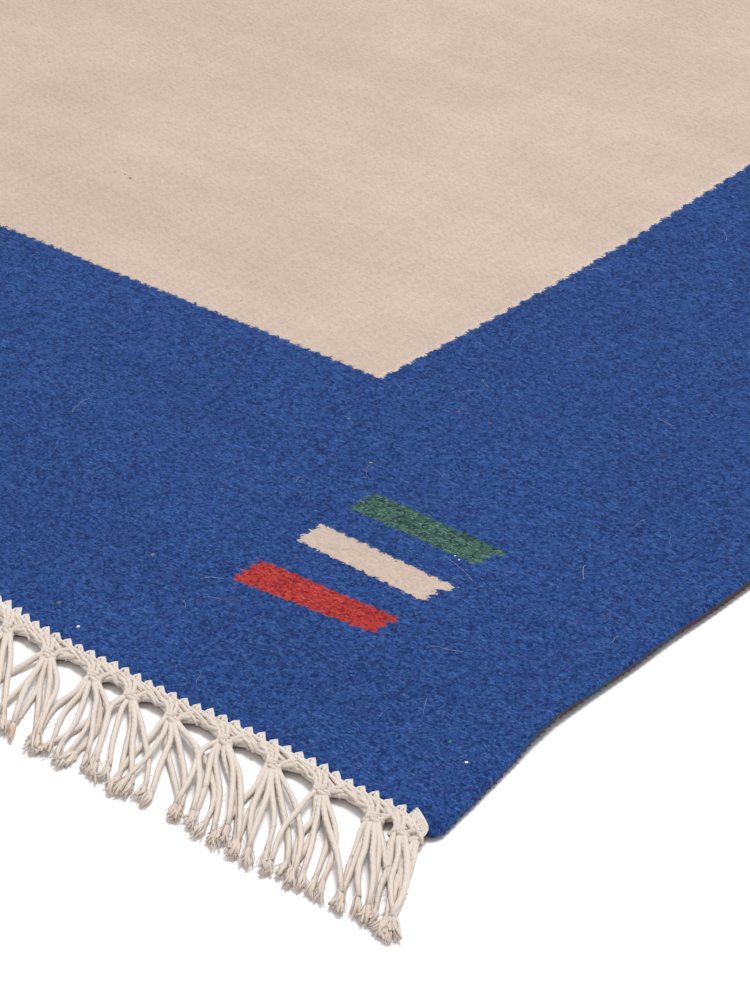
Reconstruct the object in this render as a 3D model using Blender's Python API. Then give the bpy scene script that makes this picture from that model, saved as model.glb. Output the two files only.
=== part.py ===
# A flat-woven kilim rug that lies on a floor: one wool body with rounded selvedges and
# spread corners, and at each end a plaited cotton heading with its knotted fringe.
# Metres, +Z up. X runs along the weft, Y along the warp, and the floor is z = 0.

import math
import random
from collections import namedtuple

import bmesh
import bpy
from mathutils import Matrix, Vector

BODY_WIDTH = 1.2  # between the straight stretches of the two selvedges
BODY_LENGTH = 1.8  # between the two headings
BODY_THICKNESS = 0.0038
RIM_ROUND = 0.0011  # where the weft turns round the outermost warps
BORDER_SIDE = 0.1686  # width of the coloured border along the selvedges
BORDER_END = 0.1732  # and along the headings
RIM_ANGLE = math.radians(60)  # edges sharper than this make up the rim
SEAM_GAP = 0.0003  # from the body's last weft to the heading strip

# The selvedge, from the corner along the warp: how far it stands out, and how far it lifts.
SelvedgePoint = namedtuple("SelvedgePoint", "along out lift")
SELVEDGE = (
    SelvedgePoint(0.000, 0.0093, 0.0000),
    SelvedgePoint(0.004, 0.0099, 0.0000),
    SelvedgePoint(0.014, 0.0082, 0.0000),
    SelvedgePoint(0.025, 0.0060, 0.0002),
    SelvedgePoint(0.036, 0.0038, 0.0008),
    SelvedgePoint(0.048, 0.0012, 0.0024),
    SelvedgePoint(0.060, 0.0000, 0.0034),
    SelvedgePoint(0.075, 0.0000, 0.0026),
    SelvedgePoint(0.093, 0.0001, 0.0016),
    SelvedgePoint(0.113, -0.0008, 0.0024),
    SelvedgePoint(0.131, 0.0001, 0.0014),
    SelvedgePoint(0.150, 0.0000, 0.0010),
)
WAVE_LIFT = 0.0010  # the long stretch of selvedge between the corners rises and falls
WAVE_OUT = 0.0008
WAVE_LENGTH = 0.21
LIFT_REACH = 0.036  # the lift dies out this far in from the selvedge
DRAW_REACH = 0.055  # and the drawing in of the cloth this far

# The end of the body, from the straight selvedge line inwards: how far it stands out.
EndPoint = namedtuple("EndPoint", "inward out")
BODY_END = (
    EndPoint(-0.0093, 0.0061),
    EndPoint(-0.0040, 0.0027),
    EndPoint(0.0055, 0.0002),
    EndPoint(0.0200, 0.0000),
    EndPoint(0.0400, -0.0010),
    EndPoint(0.0650, -0.0009),
    EndPoint(0.0850, 0.0003),
    EndPoint(0.1300, 0.0000),
    EndPoint(0.1686, -0.0024),
    EndPoint(0.2300, -0.0016),
    EndPoint(0.3200, 0.0004),
    EndPoint(0.4300, -0.0010),
    EndPoint(0.6000, -0.0004),
)
ROW_STEP = 0.075  # spacing of the cross rows between the two borders

# Three bars woven across the border near one corner: how far along the warp each lies.
Bar = namedtuple("Bar", "name near far colour")
BARS = (
    Bar("wool_red", 0.0555, 0.0680, (0.330, 0.043, 0.049)),
    Bar("wool_cream", 0.0815, 0.0930, (0.640, 0.520, 0.450)),
    Bar("wool_green", 0.1065, 0.1170, (0.062, 0.115, 0.103)),
)
BAR_INNER = 0.1225  # from the right selvedge line to the bars' inner ends
BAR_OUTER = 0.0700

# The heading: plaited warp ends, drawn in to a knot at every tassel.
TASSELS = 62
TASSEL_SPAN = 1.195  # from the first knot to the last
KNOT_SHIFT = 0.0013  # most that a hand-tied knot sits off its place
KNOT_HALF = 0.0031
ARC_SHARE = 0.33  # where the band has drawn back, as a share of the way to the next knot
KNOT_DEPTH = 0.0112  # from the body's edge to the front of a knot
ARC_DEPTH = 0.0084  # and to the front of the band between two knots
KNOT_HEIGHT = 0.0042
BAND_HEIGHT = 0.0029
ARC_RISE = 0.0012  # the band stands off the floor between two knots
STRIP_END = 0.0075  # the strip runs this far past the straight selvedge line

# The fringe: two locks of warp yarn from each knot, lying on the floor.
FRINGE_REACH = 0.0430  # from the body's edge to the tips
FRINGE_LEAN = 0.0140  # sideways drift of the tips, towards the right of each end
LEAN_CURVE = 1.4  # the locks leave the knots straight and lean more towards their tips
CORNER_SPLAY = 0.0090  # the last tassel on that side is spread further
LOCK_FAN = 0.0049  # a lock's tip from the middle of its tassel
LOCK_SWAY = 0.0009
REACH_SWAY = 0.0022
LockStation = namedtuple("LockStation", "share fan width height")
LOCK = (
    LockStation(0.30, 0.38, 0.0044, 0.0030),
    LockStation(0.66, 0.72, 0.0062, 0.0027),
    LockStation(1.00, 1.00, 0.0060, 0.0018),
)
SEED = 11

BORDER_BLUE = (0.033, 0.077, 0.240)
FIELD_CREAM = (0.655, 0.535, 0.455)
COTTON_CREAM = (0.800, 0.690, 0.610)
WOOL_ROUGHNESS = 0.95
COTTON_ROUGHNESS = 0.9


def clear_scene():
    for obj in list(bpy.data.objects):
        bpy.data.objects.remove(obj, do_unlink=True)


def make_material(name, colour, roughness):
    material = bpy.data.materials.new(name)
    material.use_nodes = True
    shader = material.node_tree.nodes["Principled BSDF"]
    shader.inputs["Base Color"].default_value = (*colour, 1.0)
    shader.inputs["Roughness"].default_value = roughness
    shader.inputs["Metallic"].default_value = 0.0
    return material


def finish_object(name, bm, materials):
    bmesh.ops.recalc_face_normals(bm, faces=bm.faces)
    mesh = bpy.data.meshes.new(name)
    bm.to_mesh(mesh)
    bm.free()
    for material in materials:
        mesh.materials.append(material)
    obj = bpy.data.objects.new(name, mesh)
    bpy.context.scene.collection.objects.link(obj)
    return obj


def read_table(rows, at, column):
    """The value of a column at this place, straight between the rows on either side."""
    if at <= rows[0][0]:
        return getattr(rows[0], column)
    for low, high in zip(rows, rows[1:]):
        if at <= high[0]:
            share = (at - low[0]) / (high[0] - low[0])
            return getattr(low, column) * (1 - share) + getattr(high, column) * share
    return getattr(rows[-1], column)


def selvedge_at(along):
    """How far a selvedge stands out and lifts, at a distance from the end on its right."""
    corner = min(along, BODY_LENGTH - along)
    last = SELVEDGE[-1].along
    if corner < last:
        return read_table(SELVEDGE, corner, "out"), read_table(SELVEDGE, corner, "lift")
    turn = 2 * math.pi * (along - last) / WAVE_LENGTH
    swell = min(1.0, (corner - last) / WAVE_LENGTH)
    out = WAVE_OUT * swell * math.sin(turn)
    return out, SELVEDGE[-1].lift + WAVE_LIFT * swell * math.sin(turn)


def end_out(x):
    """How far the body's end stands out at this place across it."""
    return read_table(BODY_END, BODY_WIDTH / 2 - abs(x), "out")


def body_rows():
    """Distances of the cross rows from one end, closest where the selvedge changes most."""
    bar_edges = {bar.near for bar in BARS} | {bar.far for bar in BARS}
    half = sorted({point.along for point in SELVEDGE} | bar_edges | {BORDER_END})
    spare = BODY_LENGTH / 2 - BORDER_END
    steps = round(spare / ROW_STEP)
    half += [BORDER_END + spare * step / steps for step in range(1, steps)]
    return half + [BODY_LENGTH / 2] + [BODY_LENGTH - row for row in reversed(half)]


def body_columns():
    """Places of the warp-wise lines across the body, from the left selvedge to the right."""
    inward = {point.inward for point in BODY_END[:-1]} | {BAR_INNER, BAR_OUTER}
    right = [BODY_WIDTH / 2 - place for place in sorted(inward, reverse=True)]
    return [-x for x in reversed(right)] + [0.0] + right


def body_point(x, along):
    """A point of the underside. Its x is its place at the corner, before the selvedge draws in."""
    side = math.copysign(1.0, x)
    out, lift = selvedge_at(along if side > 0 else BODY_LENGTH - along)
    edge = BODY_WIDTH / 2 + SELVEDGE[0].out
    follow = max(0.0, 1.0 - (edge - abs(x)) / DRAW_REACH)
    raised = max(0.0, 1.0 - (edge - abs(x)) / LIFT_REACH) ** 2
    y = along - BODY_LENGTH / 2
    if along <= 0.0:
        y -= end_out(x)
    if along >= BODY_LENGTH:
        y += end_out(x)
    return Vector((side * (abs(x) + (out - SELVEDGE[0].out) * follow), y, lift * raised))


def cloth_at(middle):
    """Which of the body's wools is woven here: the border, the field, or a bar."""
    inward = BODY_WIDTH / 2 - middle.x
    along = middle.y + BODY_LENGTH / 2
    if abs(middle.x) < BODY_WIDTH / 2 - BORDER_SIDE and abs(middle.y) < BODY_LENGTH / 2 - BORDER_END:
        return 1
    for index, bar in enumerate(BARS):
        if bar.near < along < bar.far and BAR_OUTER < inward < BAR_INNER:
            return 2 + index
    return 0


def make_body(wools):
    rows, columns = body_rows(), body_columns()
    bm = bmesh.new()
    across, along = len(columns) - 1, len(rows) - 1
    bmesh.ops.create_grid(bm, x_segments=across, y_segments=along, size=0.5)
    for vert in bm.verts:
        x = columns[round((vert.co.x + 0.5) * across)]
        row = rows[round((vert.co.y + 0.5) * along)]
        vert.co = body_point(x, row)
    lower = list(bm.faces)
    raised = bmesh.ops.extrude_face_region(bm, geom=lower)["geom"]
    upper_verts = [part for part in raised if isinstance(part, bmesh.types.BMVert)]
    bmesh.ops.translate(bm, verts=upper_verts, vec=(0.0, 0.0, BODY_THICKNESS))
    bmesh.ops.recalc_face_normals(bm, faces=bm.faces)
    bm.normal_update()
    rim = [edge for edge in bm.edges if edge.calc_face_angle(0.0) > RIM_ANGLE and not upright(edge)]
    bmesh.ops.bevel(
        bm, geom=rim, offset=RIM_ROUND, segments=1, profile=0.5, affect="EDGES", material=-1
    )
    for face in bm.faces:
        face.material_index = cloth_at(face.calc_center_median())
    return finish_object("kilim_body", bm, wools)


def upright(edge):
    return abs(edge.verts[0].co.z - edge.verts[1].co.z) > BODY_THICKNESS / 2


def extrude_to(bm, face, ring, targets):
    """Extrudes a face, puts its new corners at the targets, and returns both new."""
    made = bmesh.ops.extrude_face_region(bm, geom=[face, *face.edges])["geom"]
    fresh = [part for part in made if isinstance(part, bmesh.types.BMVert)]
    new_ring = [min(fresh, key=lambda vert: (vert.co - old.co).length) for old in ring]
    new_face = next(part for part in made if isinstance(part, bmesh.types.BMFace))
    for vert, target in zip(new_ring, targets):
        vert.co = target
    return new_face, new_ring


def strip_section(x, depth, height, rise):
    """The four corners of the heading band here: back low and high, front high and low."""
    back = -BODY_LENGTH / 2 - end_out(x) - SEAM_GAP
    front = back - depth
    return [
        Vector((x, back, 0.0)),
        Vector((x, back, BAND_HEIGHT)),
        Vector((x, front, height)),
        Vector((x, front, rise)),
    ]


def knot_places():
    shifts = random.Random(SEED)
    places = []
    for index in range(TASSELS):
        shift = shifts.uniform(-KNOT_SHIFT, KNOT_SHIFT) if 0 < index < TASSELS - 1 else 0.0
        places.append(TASSEL_SPAN * (index / (TASSELS - 1) - 0.5) + shift)
    return places


def strip_sections(knots):
    """Sections from the left end to the right, and which of them is each knot's middle."""
    end_x = BODY_WIDTH / 2 + STRIP_END
    sections = [strip_section(-end_x, ARC_DEPTH, BAND_HEIGHT, 0.0)]
    middles = []
    for index, knot in enumerate(knots):
        for offset in (-KNOT_HALF, 0.0, KNOT_HALF):
            if offset == 0.0:
                middles.append(len(sections))
            sections.append(strip_section(knot + offset, KNOT_DEPTH, KNOT_HEIGHT, 0.0))
        if index < len(knots) - 1:
            gap = knots[index + 1] - knot
            for share in (ARC_SHARE, 1.0 - ARC_SHARE):
                sections.append(strip_section(knot + gap * share, ARC_DEPTH, BAND_HEIGHT, ARC_RISE))
    sections.append(strip_section(end_x, ARC_DEPTH, BAND_HEIGHT, 0.0))
    return sections, middles


def lock_targets(root, side, knot, tip_shift, tip_y):
    """Corner places of a lock's stations, in the order of its root's corners."""
    root_x = sum(corner.x for corner in root) / len(root)
    root_y = root[0].y
    stations = []
    for station in LOCK:
        fan_x = root_x + (knot + side * LOCK_FAN - root_x) * station.fan
        x = fan_x + tip_shift * station.share**LEAN_CURVE
        y = root_y + (tip_y - root_y) * station.share
        corners = []
        for corner in root:
            across = math.copysign(station.width / 2, corner.x - root_x)
            up = station.height if corner.z > BAND_HEIGHT / 2 else 0.0
            corners.append(Vector((x + across, y, up)))
        stations.append(corners)
    return stations


def make_fringe(cotton):
    """The heading and its locks, at the -Y end."""
    knots = knot_places()
    sections, middles = strip_sections(knots)
    bm = bmesh.new()
    ring = [bm.verts.new(corner) for corner in sections[0]]
    face = bm.faces.new(ring)
    rings = [ring]
    for section in sections[1:]:
        face, ring = extrude_to(bm, face, ring, section)
        rings.append(ring)
    sway = random.Random(SEED + 1)
    for index, (knot, middle) in enumerate(zip(knots, middles)):
        lean = FRINGE_LEAN + (CORNER_SPLAY if index == len(knots) - 1 else 0.0)
        for side in (-1, 1):
            near, far = rings[middle], rings[middle + side]
            root = [near[2], near[3], far[3], far[2]]
            root_face = bm.faces.get(root)
            tip_shift = lean + sway.uniform(-LOCK_SWAY, LOCK_SWAY)
            tip_y = -BODY_LENGTH / 2 - FRINGE_REACH + sway.uniform(0.0, REACH_SWAY)
            corners = [vert.co.copy() for vert in root]
            for targets in lock_targets(corners, side, knot, tip_shift, tip_y):
                root_face, root = extrude_to(bm, root_face, root, targets)
    return finish_object("fringe_near", bm, [cotton])


def make_far_fringe(near):
    """The other end's fringe is the same work turned half round."""
    mesh = near.data.copy()
    mesh.name = "fringe_far"
    mesh.transform(Matrix.Rotation(math.pi, 4, "Z"))
    far = bpy.data.objects.new("fringe_far", mesh)
    bpy.context.scene.collection.objects.link(far)


def main():
    clear_scene()
    wools = [("wool_border", BORDER_BLUE), ("wool_field", FIELD_CREAM)]
    wools += [(bar.name, bar.colour) for bar in BARS]
    make_body([make_material(name, colour, WOOL_ROUGHNESS) for name, colour in wools])
    cotton = make_material("cotton_warp", COTTON_CREAM, COTTON_ROUGHNESS)
    make_far_fringe(make_fringe(cotton))


main()
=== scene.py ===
# A flat-woven kilim rug on a pale floor, seen at one corner: wool cloth with wrapped
# selvedges, and at each end a plaited cotton heading that is knotted into a fringe.
import math
import random

import bmesh
import bpy
from mathutils import Matrix, Vector, noise


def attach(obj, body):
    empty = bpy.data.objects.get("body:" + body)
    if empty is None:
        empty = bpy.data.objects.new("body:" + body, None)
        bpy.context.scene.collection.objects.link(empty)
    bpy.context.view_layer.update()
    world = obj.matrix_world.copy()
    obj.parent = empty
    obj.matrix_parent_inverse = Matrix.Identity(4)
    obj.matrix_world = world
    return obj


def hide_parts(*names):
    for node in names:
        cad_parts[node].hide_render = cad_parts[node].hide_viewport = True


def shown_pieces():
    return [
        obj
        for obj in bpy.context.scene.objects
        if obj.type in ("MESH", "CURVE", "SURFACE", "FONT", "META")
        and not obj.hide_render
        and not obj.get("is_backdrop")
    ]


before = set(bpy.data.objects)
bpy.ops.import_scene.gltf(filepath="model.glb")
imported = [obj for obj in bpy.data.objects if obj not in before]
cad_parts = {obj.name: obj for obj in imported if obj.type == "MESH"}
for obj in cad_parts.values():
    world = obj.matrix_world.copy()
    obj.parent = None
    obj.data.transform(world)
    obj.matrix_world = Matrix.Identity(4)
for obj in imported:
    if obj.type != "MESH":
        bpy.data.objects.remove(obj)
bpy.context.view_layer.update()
print("frame loaded")

rug = {
    "width": 1.2,  # between the straight stretches of the selvedges
    "length": 1.8,  # between the headings
    "thick": 0.0038,
    "rimRound": 0.0010,
    "overhang": 0.0024,  # the last wefts reach in between the warp pairs of the headings
    "cornerRound": 0.0060,
}

# Selvedge from a corner along the warp: place, how far it stands out, how far it lifts.
selvedgeRows = [
    (0.000, 0.0088, 0.0000),
    (0.004, 0.0090, 0.0000),
    (0.014, 0.0071, 0.0000),
    (0.025, 0.0050, 0.0001),
    (0.036, 0.0031, 0.0004),
    (0.048, 0.0009, 0.0011),
    (0.060, -0.0005, 0.0012),
    (0.075, -0.0006, 0.0008),
    (0.093, -0.0004, 0.0005),
    (0.113, -0.0009, 0.0007),
    (0.131, -0.0004, 0.0004),
    (0.150, -0.0006, 0.0005),
]

# End of the cloth from the straight selvedge line inwards: place, how far it stands out.
endRows = [
    (-0.0088, 0.0062),
    (-0.0040, 0.0034),
    (0.0010, 0.0004),
    (0.0055, -0.0002),
    (0.0200, 0.0000),
    (0.0400, -0.0010),
    (0.0650, -0.0009),
    (0.0850, 0.0002),
    (0.1450, -0.0002),
    (0.1686, -0.0034),
    (0.2300, -0.0016),
    (0.3200, 0.0004),
    (0.4300, -0.0010),
    (0.6000, -0.0004),
]


def readRows(rows, at, column):
    # eased between the rows on either side
    if at <= rows[0][0]:
        return rows[0][column]
    for low, high in zip(rows, rows[1:]):
        if at <= high[0]:
            share = (at - low[0]) / (high[0] - low[0])
            eased = share * share * (3 - 2 * share)
            share = 0.5 * (share + eased)
            return low[column] * (1 - share) + high[column] * share
    return rows[-1][column]


edgeWave = {"lift": 0.0006, "out": 0.0008, "length": 0.21}


def selvedgeAt(along):
    # how far the right selvedge stands out and lifts, this far from the near end
    corner = max(0.0, min(along, rug["length"] - along))
    last = selvedgeRows[-1][0]
    if corner < last:
        return readRows(selvedgeRows, corner, 1), readRows(selvedgeRows, corner, 2)
    turn = 2 * math.pi * (along - last) / edgeWave["length"]
    swell = min(1.0, (corner - last) / edgeWave["length"])
    lift = selvedgeRows[-1][2] + edgeWave["lift"] * swell * math.sin(turn)
    out = selvedgeRows[-1][1] * (1 - swell) + edgeWave["out"] * swell * math.sin(turn)
    return out, lift


def endOut(x):
    # how far the end stands out at this place
    return readRows(endRows, rug["width"] / 2 - abs(x), 1)


clothShape = {
    "drawReach": 0.055,  # how far in from the selvedge the cloth is drawn sideways
    "liftReach": 0.036,  # and lifted
    "endReach": 0.030,  # how far in from the end its unevenness is felt
    "shrinkReach": 0.018,  # and how far in the corners are drawn back
    "dimple": 0.00035,  # shallow hand-woven unevenness of the top
    "dimpleSize": 0.055,
    "fineStep": 0.0026,
    "coarseStep": 0.012,
    "fineReach": 0.15,
    "taperReach": 0.007,  # the cloth thins towards the selvedge
    "taperUnder": 0.0009,
    "taperOver": 0.0004,
}


def roundedCorner(inward, fromEnd):
    # a square corner eased into a quarter circle
    reach = rug["cornerRound"]
    if inward >= reach or fromEnd >= reach:
        return inward, fromEnd
    side, end = 1 - inward / reach, 1 - fromEnd / reach
    bentSide = side * math.sqrt(1 - end * end / 2)
    bentEnd = end * math.sqrt(1 - side * side / 2)
    return reach * (1 - bentSide), reach * (1 - bentEnd)


def clothPlace(x, along, height):
    # x is the place at the corner, before the selvedge draws in
    side = math.copysign(1.0, x)
    way = -1.0 if along < rug["length"] / 2 else 1.0
    cornerOut = selvedgeRows[0][1]
    fromEnd = min(along, rug["length"] - along) + rug["overhang"]
    inward, fromEnd = roundedCorner(rug["width"] / 2 + cornerOut - abs(x), max(0.0, fromEnd))
    fade = min(1.0, max(0.0, inward - cornerOut + 0.002) / 0.008)
    shrink = max(0.0, 1.0 - fromEnd / clothShape["shrinkReach"]) ** 2
    toEnd = fromEnd - rug["overhang"] * (1 - (1 - fade) * shrink)
    nearCorner = max(0.0, toEnd)
    alongSide = nearCorner if side > 0 else rug["length"] - nearCorner
    if way > 0:
        alongSide = rug["length"] - alongSide
    out, lift = selvedgeAt(alongSide)
    follow = max(0.0, 1.0 - inward / clothShape["drawReach"])
    raised = max(0.0, 1.0 - inward / clothShape["liftReach"]) ** 2
    felt = max(0.0, 1.0 - nearCorner / clothShape["endReach"]) ** 2
    xOut = rug["width"] / 2 + cornerOut - inward
    y = way * (rug["length"] / 2 - toEnd + endOut(xOut) * felt)
    return Vector((side * (xOut + (out - cornerOut) * follow), y, lift * raised + height))


def gradedPlaces(half):
    # fine steps near both ends, coarse ones in the middle, from -half to half
    places = [0.0]
    while places[-1] < half:
        share = min(1.0, places[-1] / clothShape["fineReach"])
        grown = (clothShape["coarseStep"] - clothShape["fineStep"]) * share
        places.append(places[-1] + clothShape["fineStep"] + grown)
    scale = half / places[-1]
    right = [half - place * scale for place in places]
    return [-place for place in right] + [place for place in reversed(right[:-1])]


def makeObject(name, mesh, materials):
    mesh.materials.clear()
    for material in materials:
        mesh.materials.append(material)
    made = bpy.data.objects.new(name, mesh)
    bpy.context.scene.collection.objects.link(made)
    return made


def makeSlab(name, columns, rows, placeAt, rimRound, material):
    # placeAt(column, row, isUpper) gives each corner its place
    bm = bmesh.new()
    across, along = len(columns) - 1, len(rows) - 1
    bmesh.ops.create_grid(bm, x_segments=across, y_segments=along, size=0.5)
    raised = bmesh.ops.extrude_face_region(bm, geom=list(bm.faces))["geom"]
    upper = {part for part in raised if isinstance(part, bmesh.types.BMVert)}
    for vert in bm.verts:
        column = columns[round((vert.co.x + 0.5) * across)]
        row = rows[round((vert.co.y + 0.5) * along)]
        vert.co = placeAt(column, row, vert in upper)
    bmesh.ops.recalc_face_normals(bm, faces=bm.faces)
    bm.normal_update()
    wall = {face for face in bm.faces if abs(face.normal.z) < 0.5}
    rim = [edge for edge in bm.edges if sum(face in wall for face in edge.link_faces) == 1]
    bmesh.ops.bevel(
        bm, geom=rim, offset=rimRound, segments=3, profile=0.5, affect="EDGES", material=-1
    )
    bmesh.ops.recalc_face_normals(bm, faces=bm.faces)
    mesh = bpy.data.meshes.new(name)
    bm.to_mesh(mesh)
    bm.free()
    mesh.shade_smooth()
    return makeObject(name, mesh, [material])


def spinYarns(name, strands, material, sides=6, steps=3):
    # each strand is a list of (place, radius), smoothed into one closed round yarn
    data = bpy.data.curves.new(name, "CURVE")
    data.dimensions = "3D"
    data.bevel_depth = 0.001
    data.bevel_resolution = (sides - 4) // 2
    data.resolution_u = steps
    data.use_fill_caps = True
    for strand in strands:
        spline = data.splines.new("NURBS")
        spline.points.add(len(strand) - 1)
        for point, (place, radius) in zip(spline.points, strand):
            point.co = (*place, 1.0)
            point.radius = radius / data.bevel_depth
        spline.order_u = 4
        spline.use_endpoint_u = True
    curve = bpy.data.objects.new(name, data)
    bpy.context.scene.collection.objects.link(curve)
    graph = bpy.context.evaluated_depsgraph_get()
    mesh = bpy.data.meshes.new_from_object(curve.evaluated_get(graph))
    bpy.data.objects.remove(curve)
    bpy.data.curves.remove(data)
    bm = bmesh.new()
    bm.from_mesh(mesh)
    bmesh.ops.remove_doubles(bm, verts=bm.verts, dist=0.000001)
    bm.to_mesh(mesh)
    bm.free()
    mesh.name = name
    mesh.shade_smooth()
    return makeObject(name, mesh, [material])


def turnedCopy(piece, name):
    # the same work at the other end of the rug
    mesh = piece.data.copy()
    mesh.name = name
    mesh.transform(Matrix.Rotation(math.pi, 4, "Z"))
    return makeObject(name, mesh, list(piece.data.materials))


# Small helpers for the materials.
def feed(tree, socket, value):
    if isinstance(value, bpy.types.NodeSocket):
        tree.links.new(value, socket)
    else:
        socket.default_value = value


def calc(tree, operation, first, second=0.0, clamp=False):
    node = tree.nodes.new("ShaderNodeMath")
    node.operation = operation
    node.use_clamp = clamp
    feed(tree, node.inputs[0], first)
    feed(tree, node.inputs[1], second)
    return node.outputs[0]


def plus(tree, first, second):
    return calc(tree, "ADD", first, second)


def minus(tree, first, second):
    return calc(tree, "SUBTRACT", first, second)


def times(tree, first, second):
    return calc(tree, "MULTIPLY", first, second)


def over(tree, first, second):
    return calc(tree, "DIVIDE", first, second)


def partsOf(tree, vector):
    node = tree.nodes.new("ShaderNodeSeparateXYZ")
    tree.links.new(vector, node.inputs[0])
    return node.outputs


def mixColour(tree, share, first, second, kind="MIX"):
    node = tree.nodes.new("ShaderNodeMix")
    node.data_type = "RGBA"
    node.blend_type = kind
    feed(tree, node.inputs[0], share)
    feed(tree, node.inputs[6], first)
    feed(tree, node.inputs[7], second)
    return node.outputs[2]


def ramp(tree, value, low, high, toLow=0.0, toHigh=1.0):
    # eased from toLow to toHigh as value goes from low to high
    node = tree.nodes.new("ShaderNodeMapRange")
    node.interpolation_type = "SMOOTHSTEP"
    for socket, number in zip(node.inputs, (value, low, high, toLow, toHigh)):
        feed(tree, socket, number)
    return node.outputs[0]


def noiseAt(tree, vector, scale, detail=2.0, rough=0.5, twist=0.0):
    node = tree.nodes.new("ShaderNodeTexNoise")
    feed(tree, node.inputs["Vector"], vector)
    node.inputs["Scale"].default_value = scale
    node.inputs["Detail"].default_value = detail
    node.inputs["Roughness"].default_value = rough
    node.inputs["Distortion"].default_value = twist
    return node


def turned(tree, vector, angle, scale):
    node = tree.nodes.new("ShaderNodeMapping")
    feed(tree, node.inputs["Vector"], vector)
    node.inputs["Rotation"].default_value = (0.0, 0.0, math.radians(angle))
    node.inputs["Scale"].default_value = scale
    return node.outputs[0]


def newMaterial(name, roughness, sheen):
    material = bpy.data.materials.new(name)
    material.use_nodes = True
    tree = material.node_tree
    shader = tree.nodes["Principled BSDF"]
    shader.inputs["Roughness"].default_value = roughness
    shader.inputs["Specular IOR Level"].default_value = 0.08
    shader.inputs["Sheen Weight"].default_value = sheen
    shader.inputs["Sheen Roughness"].default_value = 0.45
    return material, tree, shader


def addBump(tree, shader, height, depth, strength):
    bump = tree.nodes.new("ShaderNodeBump")
    bump.inputs["Strength"].default_value = strength
    bump.inputs["Distance"].default_value = depth
    feed(tree, bump.inputs["Height"], height)
    tree.links.new(bump.outputs[0], shader.inputs["Normal"])


weave = {
    "rib": 0.00484,  # from one warp pair to the next
    "bead": 0.0026,  # from one weft to the next on the same rib
    "wander": 0.0022,  # how far the hand weaving wanders
    "relief": 0.0007,
    "fineFelt": 1000,  # clumps a metre
    "coarseFelt": 430,
    "feltedArea": 150,
    "dyePatch": 330,
    "broadTone": 14,
    "fibreAngles": (12, 57, 102, -33),
    "fibreScale": (330, 2100, 900),
    "specks": 60,  # coloured ones a metre
    # the ...Pit colours are painted shade for the pits between beads and clumps
    "blue": (0.0118, 0.0475, 0.1920, 1),
    "blueFibre": (0.066, 0.148, 0.380, 1),
    "bluePit": (0.003, 0.012, 0.066, 1),
    "blueTeal": (0.009, 0.058, 0.186, 1),
    "bluePurple": (0.024, 0.040, 0.180, 1),
    "sideShadeFrom": (0.034, 0.050),  # the flat corners get only a quarter of the painted shade up to here
    # painted shade for the underside and the lifted edges' walls, in brown with purple and teal
    "paintedSideShade": (0.060, 0.042, 0.046, 1),
    "sideShadePurple": (0.062, 0.032, 0.085, 1),
    "sideShadeTeal": (0.028, 0.058, 0.095, 1),
    "cream": (0.525, 0.420, 0.350, 1),
    "creamPit": (0.375, 0.278, 0.210, 1),
    "creamFibre": (0.630, 0.525, 0.450, 1),
    "creamPink": (0.555, 0.412, 0.350, 1),
    "red": (0.340, 0.026, 0.026, 1),
    "redPit": (0.150, 0.007, 0.012, 1),
    "redFibre": (0.540, 0.090, 0.060, 1),
    "green": (0.032, 0.082, 0.062, 1),
    "greenPit": (0.006, 0.022, 0.028, 1),
    "greenFibre": (0.140, 0.250, 0.200, 1),
}

border = {
    "side": 0.1686,  # width along the selvedges
    "end": 0.1737,  # and along the headings
    "toothPitch": 0.0066,  # where the two wools share a warp
    "toothDepth": 0.0013,
    "scallop": 0.0004,
    "grainRough": 0.0046,  # how the felted wool frays the lines
    "tuftRough": 0.0060,
    "blend": 0.00022,  # half the width of the soft line between two wools
    "paleFrom": 0.0022,  # the field is paler along its sides
    "paleTo": 0.0006,
    "drift": 0.0023,  # the sides wander slowly
    "driftLength": 0.33,
    "driftPeak": -0.63,
}

# Bars near the seen corner: the near edge at their left and right ends, then the far edge,
# and how much longer the last prong is.
bars = {
    "red": (0.0535, 0.0585, 0.0668, 0.0690, 0.0012),
    "cream": (0.0820, 0.0803, 0.0935, 0.0920, 0.0030),
    "green": (0.1058, 0.1050, 0.1180, 0.1162, 0.0026),
}
barPlace = {
    "inner": 0.1236,  # from the selvedge line to the far side of the bars
    "outer": 0.0690,
    "prong": 0.0017,
    "prongPitch": 0.0037,
    "lastProng": (0.0024, 0.0032),  # how far down the last prong it reaches
    "scallop": 0.0003,
}


def addPaintedSideShade(tree, place, colour):
    # painted shade: the underside and the walls of the lifted edges are darkened to brown, with some
    # purple and teal in it
    facing = partsOf(tree, tree.nodes.new("ShaderNodeNewGeometry").outputs["Normal"])
    shadeBreakup = noiseAt(tree, place, 110, 3.0, 0.6).outputs["Fac"]
    # painted shade where the surface faces sideways or down, broken up by noise
    under = ramp(tree, minus(tree, shadeBreakup, facing[2]), 0.0, 0.36)
    split = partsOf(tree, place)
    fromEnd = minus(tree, rug["length"] / 2, calc(tree, "ABSOLUTE", split[1]))
    under = times(tree, under, ramp(tree, fromEnd, *weave["sideShadeFrom"], 0.25, 1.0))
    hue = noiseAt(tree, place, 60, 2.0, 0.5).outputs["Fac"]
    sideShadedColour = mixColour(tree, ramp(tree, hue, 0.50, 0.60), weave["paintedSideShade"], weave["sideShadePurple"])
    sideShadedColour = mixColour(tree, ramp(tree, hue, 0.40, 0.46, 1.0, 0.0), sideShadedColour, weave["sideShadeTeal"])
    return mixColour(tree, under, colour, sideShadedColour)


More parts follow.
